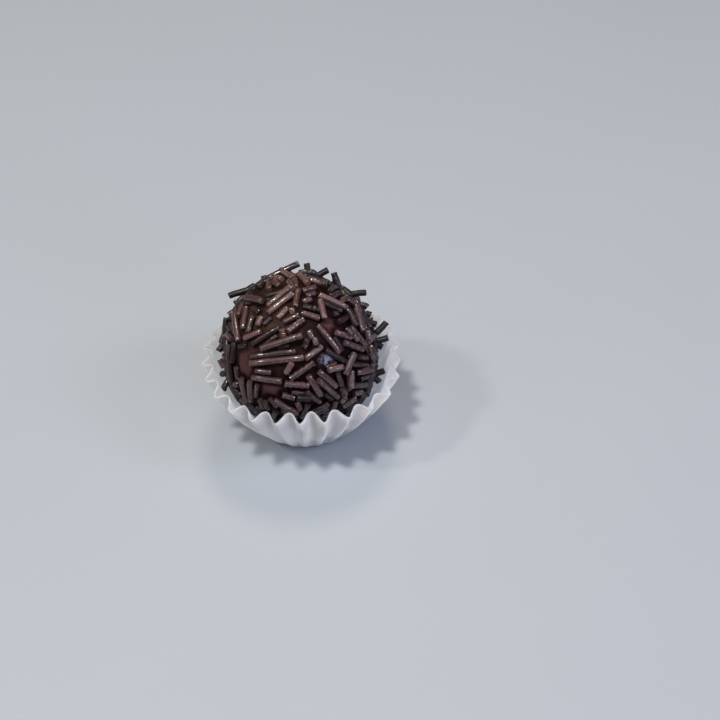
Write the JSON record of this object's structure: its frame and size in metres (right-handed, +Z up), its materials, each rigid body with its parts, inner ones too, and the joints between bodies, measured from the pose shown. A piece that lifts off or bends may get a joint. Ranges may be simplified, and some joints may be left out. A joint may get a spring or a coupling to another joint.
{
  "type": "brigadeiro",
  "caption": "Round dark fudge sweet rolled in chocolate sprinkles, sitting in a pleated white paper case that rests on its flat base.",
  "frame": {"origin": "centre of the paper case's flat base, on the surface it rests on", "axes": "+Z up out of the case, -Y towards the front that the picture shows, +X to the right seen from the front"},
  "size_m": [0.0448, 0.0446, 0.037],
  "materials": {
    "white_paper": "matte uncoated paper, finely pleated",
    "sprinkle_coat": "dark chocolate sprinkles, dry and faintly waxy",
    "fudge": "dark cocoa fudge, smooth and slightly greasy"
  },
  "bodies": {
    "root": {"paper_case": "white_paper", "coated_ball": "sprinkle_coat"}
  },
  "joints": []
}
